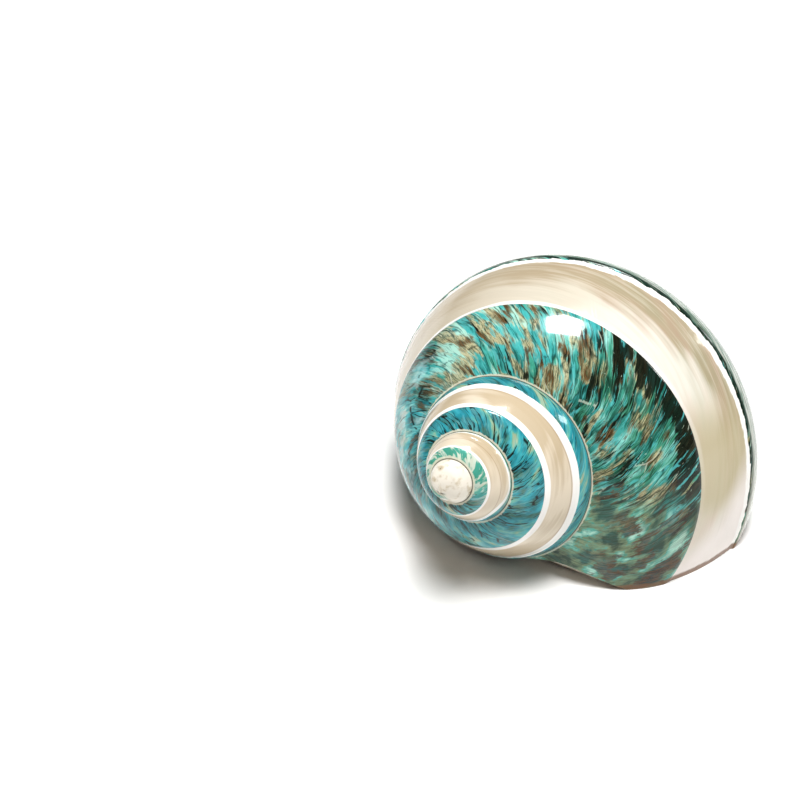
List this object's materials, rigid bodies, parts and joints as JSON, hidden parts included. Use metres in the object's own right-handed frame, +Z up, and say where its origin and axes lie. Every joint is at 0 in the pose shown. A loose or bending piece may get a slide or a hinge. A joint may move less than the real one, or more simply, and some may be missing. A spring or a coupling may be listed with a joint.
{
  "type": "turban shell",
  "caption": "Polished turban snail shell: a coiled spire and a wide body whorl with a round mouth, lying mouth-down; a natural ornament with a ground pearl band.",
  "frame": {"origin": "centre of the bounding box on the floor, in the plane of the mouth", "axes": "+Z up from the floor; the apex of the spire points towards -Y; the mouth opens downwards on the +X side"},
  "size_m": [0.0568, 0.0504, 0.038],
  "materials": {
    "shell": "polished natural shell, turquoise and green with a pearl band"
  },
  "bodies": {
    "root": {"shell": "shell"}
  },
  "joints": []
}
